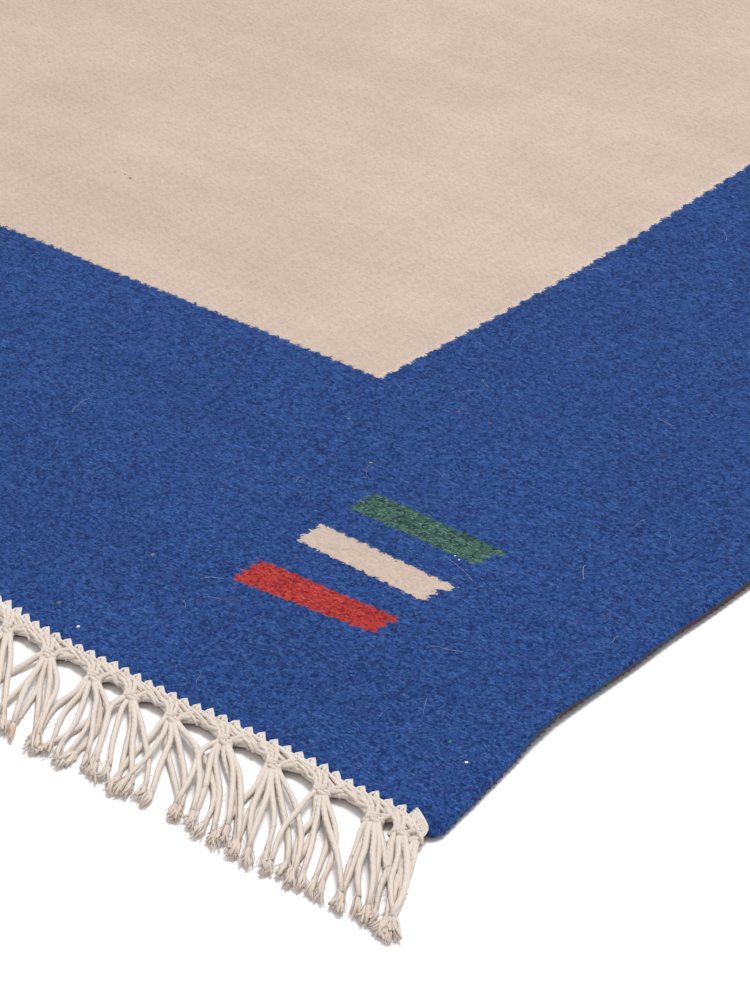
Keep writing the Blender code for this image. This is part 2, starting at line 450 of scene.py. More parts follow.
def makeWool():
    material, tree, shader = newMaterial("wovenWool", 0.95, 0.05)
    place = tree.nodes.new("ShaderNodeTexCoord").outputs["Object"]
    split = partsOf(tree, place)
    wander = partsOf(tree, noiseAt(tree, place, 90, 3.0, 0.6).outputs["Color"])
    shift = [minus(tree, wander[axis], 0.5) for axis in (0, 1)]
    moved = [calc(tree, "MULTIPLY_ADD", value, weave["wander"]) for value in shift]
    for axis in (0, 1):
        tree.links.new(split[axis], moved[axis].node.inputs[2])

    # beads of weft, half a bead further along on every second rib
    ribs = over(tree, moved[0], weave["rib"])
    odd = calc(tree, "FLOORED_MODULO", calc(tree, "FLOOR", ribs), 2.0)
    rows = over(tree, moved[1], weave["bead"])
    beads = plus(tree, rows, times(tree, odd, 0.5))
    across = minus(tree, calc(tree, "FRACT", ribs), 0.5)
    along = minus(tree, calc(tree, "FRACT", beads), 0.5)
    slanted = plus(tree, along, times(tree, across, 0.35))
    wide = calc(tree, "POWER", over(tree, calc(tree, "ABSOLUTE", across), 0.60), 2.0)
    tall = calc(tree, "POWER", over(tree, calc(tree, "ABSOLUTE", slanted), 0.60), 2.0)
    dome = calc(tree, "SQRT", calc(tree, "SUBTRACT", 1.0, plus(tree, wide, tall), clamp=True))

    # felted wool over the beads: clumps, then single fibres in four directions
    fine = noiseAt(tree, place, weave["fineFelt"], 3.0, 0.62, 0.6).outputs["Fac"]
    coarse = noiseAt(tree, place, weave["coarseFelt"], 3.0, 0.6, 0.6).outputs["Fac"]
    clump = plus(tree, times(tree, fine, 0.65), times(tree, coarse, 0.35))
    fibre = 0.0
    for angle in weave["fibreAngles"]:
        vector = turned(tree, place, angle, weave["fibreScale"])
        fibre = calc(tree, "MAXIMUM", noiseAt(tree, vector, 1.0, 2.0, 0.6, 1.2).outputs["Fac"], fibre)
    height = plus(tree, times(tree, dome, 0.30), times(tree, clump, 0.9))
    height = plus(tree, height, times(tree, fibre, 0.6))

    # painted shade for how far a point is down in a pit, and how far it is out on a fibre
    felted = noiseAt(tree, place, weave["feltedArea"], 3.0, 0.6).outputs["Fac"]
    shown = ramp(tree, felted, 0.40, 0.62, 0.0, 0.85)
    paintedHoleShade = times(tree, ramp(tree, dome, 0.0, 0.42, 1.0, 0.0), shown)
    paintedPitShade = calc(tree, "MAXIMUM", paintedHoleShade, ramp(tree, clump, 0.40, 0.54, 1.0, 0.0))
    loose = times(tree, ramp(tree, fibre, 0.56, 0.68), ramp(tree, clump, 0.38, 0.54))
    broad = noiseAt(tree, place, weave["broadTone"], 3.0, 0.6).outputs["Fac"]
    bands = noiseAt(tree, turned(tree, place, 0, (3, 60, 1)), 1.0, 2.0).outputs["Fac"]
    broadTone = ramp(tree, broad, 0.3, 0.7, 0.94, 1.04)
    bandTone = ramp(tree, bands, 0.3, 0.7, -0.02, 0.03)
    tone = plus(tree, broadTone, bandTone)
    dye = partsOf(tree, noiseAt(tree, place, weave["dyePatch"], 3.0, 0.7).outputs["Color"])
    first = ramp(tree, dye[0], 0.50, 0.70, 0.0, 0.8)
    second = ramp(tree, dye[1], 0.50, 0.70, 0.0, 0.7)

    # pale loose fibres, then painted shade in the pits
    def yarnColour(base, pitShadeColour, pale, pitShadeShare, paleShare):
        colour = mixColour(tree, times(tree, loose, paleShare), base, pale)
        return mixColour(tree, times(tree, paintedPitShade, pitShadeShare), colour, pitShadeColour)

    blueBase = mixColour(tree, first, weave["blue"], weave["blueTeal"])
    blueBase = mixColour(tree, second, blueBase, weave["bluePurple"])
    creamBase = mixColour(tree, times(tree, first, 0.5), weave["cream"], weave["creamPink"])
    blue = yarnColour(blueBase, weave["bluePit"], weave["blueFibre"], 0.78, 0.70)
    cream = yarnColour(creamBase, weave["creamPit"], weave["creamFibre"], 0.32, 0.40)

    # the field, with dovetailed sides and scalloped ends
    grain = noiseAt(tree, place, weave["fineFelt"], 3.0, 0.6).outputs["Fac"]
    rough = times(tree, minus(tree, grain, 0.5), border["grainRough"])
    rough = plus(tree, rough, times(tree, minus(tree, fibre, 0.62), border["tuftRough"]))
    sideAt = plus(tree, calc(tree, "ABSOLUTE", split[0]), rough)
    tooth = calc(tree, "PINGPONG", split[1], border["toothPitch"] / 2)
    tooth = times(tree, tooth, 2 * border["toothDepth"] / border["toothPitch"])
    sideAt = plus(tree, sideAt, tooth)
    wave = calc(tree, "MULTIPLY_ADD", split[1], 2 * math.pi / border["driftLength"])
    wave.node.inputs[2].default_value = -2 * math.pi * border["driftPeak"] / border["driftLength"]
    drift = times(tree, calc(tree, "COSINE", wave), border["drift"])
    sideAt = minus(tree, sideAt, drift)
    sideLine = rug["width"] / 2 - border["side"] - border["drift"] / 2 + border["toothDepth"] / 2
    endAt = plus(tree, calc(tree, "ABSOLUTE", split[1]), rough)
    wave = calc(tree, "COSINE", times(tree, ribs, 2 * math.pi))
    endAt = plus(tree, endAt, times(tree, wave, border["scallop"]))
    endLine = rug["length"] / 2 - border["end"]
    soft = border["blend"]
    inSide = ramp(tree, sideAt, sideLine - soft, sideLine + soft, 1.0, 0.0)
    inEnd = ramp(tree, endAt, endLine - soft, endLine + soft, 1.0, 0.0)
    inField = times(tree, inSide, inEnd)
    pale = [sideLine - border[edge] for edge in ("paleFrom", "paleTo")]
    nearSide = ramp(tree, sideAt, *pale, 0.0, 0.7)
    field = mixColour(tree, nearSide, cream, weave["creamFibre"])
    colour = mixColour(tree, inField, blue, field)

    # three bars in the border by the seen corner
    barX = minus(tree, split[0], rug["width"] / 2)
    barY = plus(tree, split[1], rug["length"] / 2)
    barX = plus(tree, barX, rough)
    barY = plus(tree, barY, times(tree, wave, barPlace["scallop"]))
    barY = plus(tree, barY, times(tree, rough, 0.6))
    fromInner = plus(tree, barX, barPlace["inner"])
    run = over(tree, fromInner, barPlace["inner"] - barPlace["outer"])
    prong = calc(tree, "PINGPONG", barY, barPlace["prongPitch"] / 2)
    prong = times(tree, prong, 2 * barPlace["prong"] / barPlace["prongPitch"])
    leftIn = minus(tree, fromInner, prong)
    rightIn = minus(tree, minus(tree, -barPlace["outer"], barX), prong)
    wools = {
        "red": yarnColour(weave["red"], weave["redPit"], weave["redFibre"], 0.75, 0.75),
        "cream": cream,
        "green": yarnColour(weave["green"], weave["greenPit"], weave["greenFibre"], 0.85, 0.85),
    }
    for name, (nearLeft, nearRight, farLeft, farRight, longer) in bars.items():
        near = plus(tree, times(tree, run, nearRight - nearLeft), nearLeft)
        far = plus(tree, times(tree, run, farRight - farLeft), farLeft)
        pastNear = minus(tree, barY, near)
        beforeFar = minus(tree, far, barY)
        inside = calc(tree, "MINIMUM", pastNear, beforeFar)
        last = ramp(tree, beforeFar, *barPlace["lastProng"], longer, 0.0)
        sides = calc(tree, "MINIMUM", leftIn, plus(tree, rightIn, last))
        inside = ramp(tree, calc(tree, "MINIMUM", inside, sides), -soft, soft)
        colour = mixColour(tree, inside, colour, wools[name])

    # rare coloured specks that were spun in
    specks = tree.nodes.new("ShaderNodeTexVoronoi")
    specks.inputs["Scale"].default_value = weave["specks"]
    tree.links.new(place, specks.inputs["Vector"])
    isSpeck = ramp(tree, specks.outputs["Distance"], 0.02, 0.05, 0.35, 0.0)
    dull = mixColour(tree, 1.0, specks.outputs["Color"], (0.5, 0.5, 0.5, 1), "MULTIPLY")
    colour = mixColour(tree, isSpeck, colour, dull)
    # last comes the painted shade on the underside and the lifted edges
    toned = addPaintedSideShade(tree, place, mixColour(tree, 1.0, colour, tone, "MULTIPLY"))
    tree.links.new(toned, shader.inputs["Base Color"])
    addBump(tree, shader, height, weave["relief"], 0.8)
    return material


cotton = {
    "cream": (0.680, 0.600, 0.540, 1),
    "shade": (0.620, 0.530, 0.460, 1),
    "tip": (0.670, 0.560, 0.480, 1),
    "warm": (0.665, 0.575, 0.505, 1),
    "tooth": (0.720, 0.675, 0.640, 1),  # paler at the teeth: a painted highlight on their tops
    "paintedFloorShade": (0.17, 0.105, 0.080, 1),  # painted shade near the floor, where it lies on it and under the raised arcs
    "rust": (0.62, 0.33, 0.12, 1),
    "tipFrom": 0.027,  # beyond the cloth the yarns turn darker
    "tipBlend": 0.014,
    "toothHighlightReach": (0.0010, 0.0028),
    "paintedFloorShadeReach": (0.0004, 0.0018),
    "plies": 3,
    "relief": 0.00026,
}

# Rust spots by the seen corner: place from it, then size.
rustSpots = [(0.0118, -0.0177, 0.0018), (-0.1290, -0.0080, 0.0012), (-0.1160, -0.0400, 0.0040)]


def makeCotton(name, twists, paintedFloorShadeShare, isTip=False):
    material, tree, shader = newMaterial(name, 0.9, 0.05)
    coords = tree.nodes.new("ShaderNodeTexCoord")
    place = coords.outputs["Object"]
    uv = partsOf(tree, coords.outputs["UV"])
    split = partsOf(tree, place)
    around = times(tree, uv[1], cotton["plies"])
    turn = plus(tree, times(tree, uv[0], twists), around)
    ply = calc(tree, "ABSOLUTE", calc(tree, "SINE", times(tree, turn, math.pi)))
    hair = noiseAt(tree, place, 2200, 4.0, 0.65, 0.5).outputs["Fac"]
    patch = noiseAt(tree, place, 170, 3.0, 0.6).outputs["Fac"]
    plyShare = 0.15 if isTip else 0.45
    height = times(tree, ply, plyShare)
    height = plus(tree, height, times(tree, hair, 0.9))
    colour = mixColour(tree, ramp(tree, patch, 0.42, 0.68, 0.0, 0.6), cotton["cream"], cotton["warm"])
    groove = ramp(tree, ply, 0.0, 0.45, plyShare * 0.7, 0.0)
    colour = mixColour(tree, groove, colour, cotton["shade"])
    fluff = ramp(tree, hair, 0.36, 0.56, 0.35, 0.0)
    colour = mixColour(tree, fluff, colour, cotton["shade"])
    tipStart = rug["length"] / 2 + cotton["tipFrom"]
    tipEnd = tipStart + cotton["tipBlend"]
    fromMiddle = calc(tree, "ABSOLUTE", split[1])
    tipShare = ramp(tree, fromMiddle, tipStart, tipEnd)
    tipShare = times(tree, tipShare, ramp(tree, patch, 0.36, 0.62, 0.10, 0.85))
    colour = mixColour(tree, tipShare, colour, cotton["tip"])
    fromCloth = minus(tree, fromMiddle, rug["length"] / 2)
    # painted highlight on the teeth, close to the cloth's edge
    paintedToothHighlight = ramp(tree, fromCloth, *cotton["toothHighlightReach"], 0.7, 0.0)
    colour = mixColour(tree, paintedToothHighlight, colour, cotton["tooth"])
    for x, along, size in rustSpots:
        spot = tree.nodes.new("ShaderNodeVectorMath")
        spot.operation = "DISTANCE"
        tree.links.new(place, spot.inputs[0])
        spot.inputs[1].default_value = (rug["width"] / 2 + x, along - rug["length"] / 2, 0.002)
        rusty = ramp(tree, spot.outputs["Value"], size * 0.4, size, 0.6, 0.0)
        rusty = times(tree, rusty, ramp(tree, hair, 0.35, 0.55, 0.3, 1.0))
        colour = mixColour(tree, rusty, colour, cotton["rust"])
    # painted shade: darker towards the floor
    low = ramp(tree, split[2], *cotton["paintedFloorShadeReach"], paintedFloorShadeShare, 0.0)
    colour = mixColour(tree, low, colour, cotton["paintedFloorShade"])
    tree.links.new(colour, shader.inputs["Base Color"])
    addBump(tree, shader, height, cotton["relief"], 0.9)
    return material


def makePlain(name, colour, other, scale):
    # yarn or hair with a mottled dye
    material, tree, shader = newMaterial(name, 0.9, 0.05)
    place = tree.nodes.new("ShaderNodeTexCoord").outputs["Object"]
    patch = noiseAt(tree, place, scale, 3.0, 0.65).outputs["Fac"]
    mixed = mixColour(tree, ramp(tree, patch, 0.38, 0.62), colour, other)
    tree.links.new(mixed, shader.inputs["Base Color"])
    addBump(tree, shader, patch, 0.0004, 0.7)
    return material, tree, shader


def makeSelvedgeYarn():
    material, tree, shader = makePlain("selvedgeYarn", weave["blue"], weave["bluePit"], 620)
    place = tree.nodes.new("ShaderNodeTexCoord").outputs["Object"]
    blue = shader.inputs["Base Color"].links[0].from_socket
    # the same painted shade on the selvedge's turns
    tree.links.new(addPaintedSideShade(tree, place, blue), shader.inputs["Base Color"])
    return material


woolMaterial = makeWool()
# the third number is how much painted shade each yarn gets near the floor
cottonMaterial = makeCotton("fringeYarn", 12.5, 0.18)
plaitMaterial = makeCotton("plaitYarn", 5.0, 0.80)
knotMaterial = makeCotton("knotYarn", 5.0, 0.80)
tipMaterial = makeCotton("tipFibre", 2.0, 0.12, True)
selvedgeMaterial = makeSelvedgeYarn()
hairMaterial = makePlain("paleHair", (0.20, 0.30, 0.55, 1), (0.62, 0.60, 0.58, 1), 40)[0]
nepMaterials = {
    "white": makePlain("whiteNep", (0.80, 0.80, 0.74, 1), (0.62, 0.62, 0.56, 1), 900)[0],
    "leaf": makePlain("leafNep", (0.30, 0.36, 0.12, 1), (0.16, 0.22, 0.10, 1), 900)[0],
    "brown": makePlain("brownNep", (0.36, 0.24, 0.15, 1), (0.44, 0.32, 0.23, 1), 900)[0],
    "red": makePlain("redThread", (0.26, 0.05, 0.09, 1), (0.36, 0.10, 0.12, 1), 900)[0],
}
print("materials made")


def clothCorner(x, along, isUpper):
    thinned = max(0.0, 1.0 - (halfAtCorner - abs(x)) / clothShape["taperReach"]) ** 2
    height = clothShape["taperUnder"] * thinned
    if isUpper:
        spot = Vector((x, along, 0.0)) / clothShape["dimpleSize"]
        height = rug["thick"] + clothShape["dimple"] * noise.noise(spot)
        height -= clothShape["taperOver"] * thinned
    return clothPlace(x, along, height)


halfAtCorner = rug["width"] / 2 + selvedgeRows[0][1]
clothColumns = gradedPlaces(halfAtCorner)
halfLong = rug["length"] / 2
clothRows = [place + halfLong for place in gradedPlaces(halfLong + rug["overhang"])]
cloth = makeSlab("kilimCloth", clothColumns, clothRows, clothCorner, rug["rimRound"], woolMaterial)
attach(cloth, "root")
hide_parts("kilim_body")
print("cloth woven", len(cloth.data.polygons))

turns = {
    "pitch": 0.0026,  # from one weft's turn round the selvedge to the next
    "radius": 0.00078,
    "slant": 0.0011,
    # how far in from the edge, and how high
    "route": [(0.0034, 0.0026), (0.0014, 0.0029), (0.0000, 0.0021), (0.0006, 0.0010), (0.0034, 0.0010)],
}


def makeSelvedgeTurns():
    dice = random.Random(3)
    strands = []
    count = round((rug["length"] - 0.006) / turns["pitch"])
    for side in (-1, 1):
        for index in range(count):
            along = 0.003 + index * turns["pitch"] + dice.uniform(-0.0003, 0.0003)
            strand = []
            for step, (inward, height) in enumerate(turns["route"]):
                shift = turns["slant"] * (step / (len(turns["route"]) - 1) - 0.5)
                place = clothPlace(side * (halfAtCorner - inward), along + shift, height)
                strand.append((place, turns["radius"] * dice.uniform(0.92, 1.08)))
            strands.append(strand)
    return spinYarns("selvedgeTurns", strands, selvedgeMaterial, 6, 1)


selvedges = makeSelvedgeTurns()
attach(selvedges, "root")
print("selvedges wrapped", len(selvedges.data.polygons))

tassels = {
    "pitch": 0.0193,
    "shift": 0.0013,  # most that a knot sits off its place
    "closest": 0.007,  # knots nearer than this have no open arc between them
}

# The tassels seen at the corner: a knot's place from the corner, then each yarn's sideways
# place at a third and two thirds of its length and at its tip, in millimetres.
seenFans = {
    -137.0: [(-4, -5, -5), (2, 6, 9), (2, 9, 21), (5, 16, 27), (8, 20, 29), (11, 21, 31), (4, 12, 16)],
    -117.7: [(-1, 0, 9), (3, 11, 19), (8, 19, 28), (9, 19, 23), (9, 17, 22), (13, 24, 33), (1, 5, 13)],
    -102.3: [(-4, -2, -4), (12, 26, 35), (3, 12, 20), (7, 18, 25), (9, 21, 31), (-2, 8, 16)],
    -85.4: [(2, 19, 33), (6, 14, 21), (15, 30, 38), (19, 35, 42), (9, 23, 32), (4, 9, 12), (-1, 3, 9)],
    -65.9: [(6, 25, 37), (12, 26, 37), (10, 22, 31), (1, 18, 29), (2, 10, 17), (-1, 5, 12)],
    -47.1: [(1, 4, 9), (4, 10, 23), (6, 19, 29), (9, 25, 33), (14, 30, 38), (5, 13, 24), (1, 8, 18)],
    -28.4: [(4, 9, 20), (6, 15, 23), (8, 24, 36), (5, 12, 18), (11, 22, 30), (1, 4, 11), (9, 18, 27)],
    -8.6: [(0, 7, 18), (2, 9, 15), (5, 17, 27), (8, 24, 32), (9, 19, 25), (3, 12, 22)],
    1.0: [(0, 17, 25), (5, 18, 26), (9, 19, 23), (2, 10, 18), (7, 15, 24), (4, 13, 27)],
    6.4: [(5, 11, 15), (3, 9, 18)],
}


def knotPlaces():
    # even with small shifts, but for the last few, which follow the corner that is seen
    dice = random.Random(11)
    seen = [rug["width"] / 2 + place / 1000 for place in seenFans]
    first = -rug["width"] / 2 - 0.001
    count = round((seen[0] - first) / tassels["pitch"])
    places = [first]
    for index in range(1, count):
        even = first + (seen[0] - first) * index / count
        places.append(even + dice.uniform(-tassels["shift"], tassels["shift"]))
    return places + seen


knots = knotPlaces()
flare = {"from": 0.0055, "reach": 0.009}  # how far in the corners flare, and how far out


def endPlace(x, out, height):
    # a place beyond the near end of the cloth, whose corners flare but not the knots there
    even = endOut(min(abs(x), rug["width"] / 2 - flare["from"]))
    flared = (endOut(x) - even) * max(0.0, 1.0 - max(0.0, out) / flare["reach"])
    return Vector((x, -rug["length"] / 2 - even - flared - out, height))


# Front of the band between two knots: share of the way, distance from the cloth's edge.
frontRows = [
    (0.00, 0.0094),
    (0.08, 0.0084),
    (0.20, 0.0067),
    (0.38, 0.0062),
    (0.60, 0.0067),
    (0.80, 0.0079),
    (0.94, 0.0092),
    (1.00, 0.0094),
]


def bandFront(x):
    # the front here, and how far this place is from a knot, from 0 to 1
    for before, after in zip(knots, knots[1:]):
        if before <= x < after:
            if after - before < tassels["closest"]:
                return frontRows[0][1], 0.0
            share = (x - before) / (after - before)
            front = readRows(frontRows, share, 1)
            return front, min(1.0, 3.0 * min(share, 1 - share))
    return frontRows[0][1], 0.0


core = {
    "halfWidth": 0.6062,
    "step": 0.0016,
    "height": 0.0038,
    "rise": 0.0012,  # of the open arcs off the floor
    "rowCount": 4,
    "inside": 0.0016,  # it starts this far from the cloth's line
    "behind": 0.0034,  # and stops short of the front, under the arc yarns
    "crown": 0.38,
}


def coreCorner(x, row, isUpper):
    front, arc = bandFront(x)
    out = core["inside"] + row * (front - core["behind"])
    crown = 1.0 - core["crown"] * row**3
    height = core["height"] * crown if isUpper else core["rise"] * arc * row
    return endPlace(x, out, height)


def makeHeadingCore():
    steps = round(2 * core["halfWidth"] / core["step"])
    columns = [core["halfWidth"] * (2 * index / steps - 1) for index in range(steps + 1)]
    rows = [1 - index / core["rowCount"] for index in range(core["rowCount"] + 1)]
    return makeSlab("headingCoreNear", columns, rows, coreCorner, 0.0005, knotMaterial)


plait = {
    "teeth": 248,
    "span": 1.2026,  # from the first pair of warps to the last
    "stop": 0.6072,  # where the last ones are gathered at the corner
    # one tooth over the wool's edge, as three short yarns that part from its point:
    # sideways, distance from the edge, height, radius, the three in millimetres
    "toothPoint": (0.0000, 0.0000, 0.0044, 0.00018),
    "tooth": [
        [(-0.3, 1.0, 4.6, 0.40), (-1.3, 2.2, 4.2, 0.66), (-1.0, 3.4, 3.6, 0.70)],
        [(0.2, 1.0, 4.7, 0.44), (0.6, 2.2, 4.4, 0.75), (1.2, 3.6, 3.6, 0.70)],
        [(0.6, 1.1, 4.5, 0.38), (2.1, 2.3, 4.0, 0.64), (3.4, 3.6, 3.4, 0.65)],
    ],
    "strands": 2,  # that run on from each tooth along the band
    "radius": 0.00062,
    "floats": 0.00034,  # how far they pass over and under each other
    # sideways, distance from the cloth's edge, height
    "route": [
        (-0.0010, 0.0018, 0.0034),
        (0.0014, 0.0025, 0.0040),
        (0.0040, 0.0033, 0.0042),
        (0.0068, 0.0041, 0.0041),
        (0.0096, 0.0048, 0.0038),
        (0.0124, 0.0055, 0.0032),
        (0.0142, 0.0060, 0.0022),
    ],
    # the yarns that follow the flared corner and turn down into the last tassel
    "cornerYarns": 6,
    "cornerAlong": [-0.0016, 0.0010, 0.0034, 0.0056],
    "cornerDown": [(0.0070, 0.0052), (0.0068, 0.0074), (0.0056, 0.0102)],
}


def shortRun(x, run, stop):
    # a sideways run that is drawn in where it would pass the corner
    free = stop - x
    whole = plait["route"][-1][0]
    return run if free > whole else run * max(0.0, free) / whole


def makePlait():
    dice = random.Random(5)
    strands, teeth = [], []
    for index in range(plait["teeth"]):
        start = plait["span"] * ((index + 0.5) / plait["teeth"] - 0.5) + 0.0008
        lift = dice.uniform(-0.0002, 0.0002)
        pointX, pointOut, pointHeight, pointRadius = plait["toothPoint"]
        pointX += dice.uniform(-0.0003, 0.0003)
        pointOut += dice.uniform(-0.0003, 0.0004)
        for route in plait["tooth"]:
            tooth = [(endPlace(start + pointX, pointOut, pointHeight + lift), pointRadius)]
            for spot in route:
                run, out, height, radius = [size / 1000 for size in spot]
                x = start + run + dice.uniform(-0.0002, 0.0002)
                tooth.append((endPlace(x, out, height + lift), radius))
            teeth.append(tooth)
        for twin in range(plait["strands"]):
            longer = dice.uniform(0.8, 1.2)
            push = dice.uniform(-0.0003, 0.0003) + 0.0002 * twin
            strand = []
            for step, (run, out, height) in enumerate(plait["route"]):
                sign = 1 if (step // 2 + index + twin) % 2 else -1
                wave = sign * plait["floats"] if 0 < step < 6 else 0.0
                x = start + 0.0024 * twin + shortRun(start, run * longer, plait["stop"])
                x = min(x + dice.uniform(-0.0003, 0.0003), plait["stop"] + 0.0004)
                place = endPlace(x, out + push + dice.uniform(-0.00015, 0.00015), height + wave)
                strand.append((place, plait["radius"] * dice.uniform(0.9, 1.12)))
            strands.append(strand)
    for way in (-1, 1):
        for yarn in range(plait["cornerYarns"]):
            inset = 0.0008 * yarn - 0.0012
            height = 0.0042 - 0.0003 * yarn
            strand = []
            for place in plait["cornerAlong"]:
                x = rug["width"] / 2 + place - 0.0002 * yarn
                spot = Vector((way * x, -rug["length"] / 2 - endOut(x) - inset, height))
                strand.append((spot, plait["radius"]))
            for place, out in plait["cornerDown"]:
                x = rug["width"] / 2 + place - 0.0007 * yarn
                height -= 0.0005
                spot = Vector((way * x, -rug["length"] / 2 - out - 0.0003 * yarn, max(0.0012, height)))
                strand.append((spot, plait["radius"]))
            strands.append(strand)
    made = spinYarns("headingPlaitNear", strands, plaitMaterial, 6, 2)
    return made, spinYarns("headingTeethNear", teeth, plaitMaterial, 6, 1)


gather = {
    "radius": 0.00080,
    # yarns drawn into a knot: sideways, distance from the cloth's edge, height, in millimetres
    "drawn": [
        [(-9.8, 4.4, 3.8), (-6.2, 5.0, 4.0), (-3.4, 6.3, 3.5), (-2.0, 8.6, 2.8)],
        [(-6.6, 3.6, 4.2), (-4.2, 4.7, 4.2), (-2.2, 6.3, 3.6), (-1.2, 8.6, 2.8)],
        [(-3.4, 3.4, 4.4), (-2.0, 4.7, 4.3), (-0.7, 6.5, 3.6), (0.0, 8.8, 2.8)],
        [(4.8, 3.8, 4.0), (3.4, 4.7, 4.0), (2.0, 6.3, 3.5), (1.2, 8.6, 2.8)],
    ],
    "exit": (0.0110, 0.0022),  # where they leave it, and how high
    "arcYarns": 3,
    "arcRadius": 0.00082,
    "arcTwist": 1.3,
    "arcSwing": 0.00075,
    "arcHeight": 0.0027,
    "loopRadius": 0.00080,
    "loopWide": 0.0027,
    "loopTall": 0.0012,
    "loopPlaces": [0.0073, 0.0085],
}


def makeArc(dice, before, after):
    # the front of the band, a loose cord from one knot to the next
    strands = []
    phase = dice.uniform(0, 2)
    for yarn in range(gather["arcYarns"]):
        strand = []
        for step in range(9):
            share = 0.03 + 0.94 * step / 8
            angle = math.pi * (phase + 2 * yarn / gather["arcYarns"] + 2 * gather["arcTwist"] * share)
            out = readRows(frontRows, share, 1) - 0.0015 + gather["arcSwing"] * math.cos(angle)
            up = gather["arcHeight"] + gather["arcSwing"] * math.sin(angle)
            x = before + (after - before) * share
            strand.append((endPlace(x, out, up), gather["arcRadius"] * dice.uniform(0.92, 1.08)))
        strands.append(strand)
    return strands


def makeKnots():
    dice = random.Random(8)
    strands = []
    for knot in knots[:-1]:
        for route in gather["drawn"]:
            strand = []
            for spot in route:
                run, out, height = [size / 1000 for size in spot]
                x = min(knot + run + dice.uniform(-0.0003, 0.0003), plait["stop"])
                strand.append((endPlace(x, out, height), gather["radius"]))
            exitX = x + dice.uniform(-0.0005, 0.0008)
            strand.append((endPlace(exitX, *gather["exit"]), gather["radius"]))
            strands.append(strand)
        tilt = dice.uniform(-0.35, 0.25)
        for out in gather["loopPlaces"]:
            strand = []
            for step in range(8):
                angle = 2 * math.pi * step / 6.5 + 1.2
                across = gather["loopWide"] * math.cos(angle)
                up = 0.0026 + gather["loopTall"] * math.sin(angle)
                place = endPlace(knot + across, out + across * tilt + 0.0002 * step, up)
                strand.append((place, gather["loopRadius"]))
            strands.append(strand)
    for before, after in zip(knots, knots[1:]):
        if after - before > tassels["closest"]:
            strands.extend(makeArc(dice, before, after))
    return spinYarns("tasselKnotsNear", strands, knotMaterial, 6, 2)


fringe = {
    "yarns": 7,
    "radius": 0.00092,
    "layer": 0.0011,  # how much higher the next of three layers lies
    "outs": (0.0086, 0.0110, 0.0150, 0.0215, 0.0280),  # where each yarn's way is set
    "reach": 0.0438,
    "reachSway": 0.0034,
    "neck": 0.00064,  # from one yarn to the next where they leave a knot
    "tipRange": (-4, 38),  # sideways drift of the unseen tips, in millimetres
    "sway": 0.0014,
    # the opened tip: a soft tuft, then plies and fibres that stand out of it
    "tuftRadius": 0.00100,
    "tuft": ((0.45, 1.0), (0.9, 0.75), (1.15, 0.15)),  # share of the tip, share of that radius
    "plies": 4,
    "plyRadius": 0.00048,
    "curl": 0.0011,
    "fibres": 6,
    "fibreRadius": 0.00017,
    "spread": 0.0022,
    "fuzz": 2,  # loose fibres along each yarn
    "fuzzRadius": 0.00009,
}


def fanOf(knot, dice):
    # sideways places of a tassel's yarns: as seen, or drawn from the same spread
    seen = seenFans.get(round((knot - rug["width"] / 2) * 1000, 1))
    if seen:
        return seen
    low, high = fringe["tipRange"]
    fan = []
    for yarn in range(fringe["yarns"]):
        tip = low + (high - low) * (yarn + dice.uniform(0, 1)) / fringe["yarns"]
        fan.append((0.26 * tip + dice.gauss(0, 1.6), 0.64 * tip + dice.gauss(0, 2.2), tip))
    dice.shuffle(fan)
    return fan


def makeFringe():
    dice = random.Random(21)
    yarns, tips = [], []
    for knot in knots:
        fan = fanOf(knot, dice)
        order = sorted(range(len(fan)), key=lambda yarn: fan[yarn][0] + 0.3 * fan[yarn][1])
        for layer, (third, twoThirds, tip) in enumerate(fan):
            beside = fringe["neck"] * (order.index(layer) - (len(fan) - 1) / 2)
            reach = fringe["reach"] - dice.uniform(0, fringe["reachSway"])
            level = fringe["radius"] + fringe["layer"] * (layer % 3)
            sway = [dice.uniform(-fringe["sway"], fringe["sway"]) for _ in range(4)]
            toTip = 0.72 * tip + 0.28 * twoThirds
            inKnot, leaving, early, middle, late = fringe["outs"]
            stations = [
                (beside * 0.8, inKnot, 0.0026),
                (0.00022 * third + beside, leaving, 0.0027),
                (0.001 * third + sway[0], early, level + 0.0006),
                (0.0005 * (third + twoThirds) + sway[1], middle, level),
                (0.001 * twoThirds + sway[2], late, level),
                (0.001 * toTip + sway[3], reach - 0.0048, level * 0.8),
            ]
            radius = fringe["radius"] * dice.uniform(0.9, 1.12)
            strand = [(endPlace(knot + x, out, height), radius) for x, out, height in stations]
            strand[-1] = (strand[-1][0], radius * 0.75)
            yarns.append(strand)
            for _ in range(fringe["fuzz"]):
                low = dice.randrange(2, len(strand) - 1)
                start = strand[low][0].lerp(strand[low + 1][0], dice.random())
                stray = Vector((dice.gauss(0, 0.0014), dice.gauss(0, 0.0026), 0.0006))
                fuzz = [start, start + 0.5 * stray, start + stray]
                tips.append([(place, fringe["fuzzRadius"]) for place in fuzz])
            end = endPlace(knot + 0.001 * tip, reach, 0.0012)
            addFray(dice, tips, strand, end)
    made = spinYarns("fringeYarnsNear", yarns, cottonMaterial, 6, 3)
    frayed = spinYarns("frayedTipsNear", tips, tipMaterial, 4, 1)
    return made, frayed


